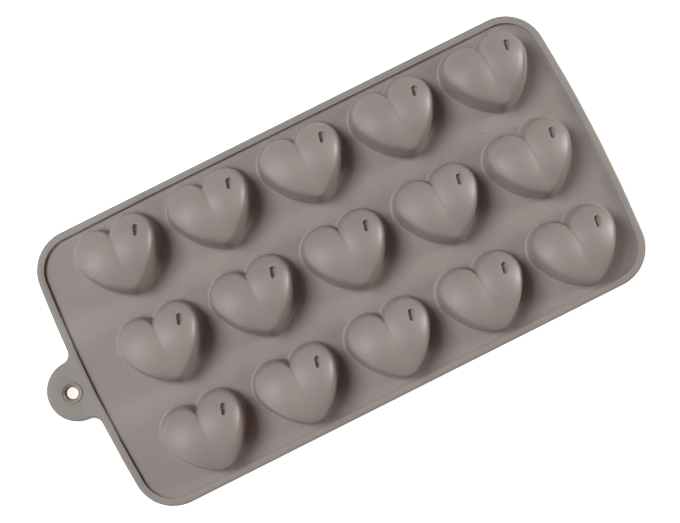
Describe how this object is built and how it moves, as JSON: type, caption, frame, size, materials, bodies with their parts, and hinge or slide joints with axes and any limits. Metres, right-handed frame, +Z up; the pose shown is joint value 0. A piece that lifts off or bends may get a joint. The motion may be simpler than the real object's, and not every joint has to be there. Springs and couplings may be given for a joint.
{
  "type": "silicone chocolate mould",
  "caption": "Flexible baking and chocolate mould: a bead-edged sheet of puffed heart cups with a hanging tab, lying face down.",
  "frame": {"origin": "centre of the mould's plan box, tab included, on the surface that its front rim lies on", "axes": "+X along the mould, away from the hanging tab; +Y across it, towards the clefts of the hearts; +Z up, out of the cup backs"},
  "size_m": [0.2283, 0.113, 0.0182],
  "materials": {
    "silicone": "satin taupe grey food-grade silicone"
  },
  "bodies": {
    "root": {"web_sheet": "silicone", "rim": "silicone", "hang_tab": "silicone", "heart_cups_row_1": "silicone", "heart_cups_row_2": "silicone", "heart_cups_row_3": "silicone"}
  },
  "joints": []
}
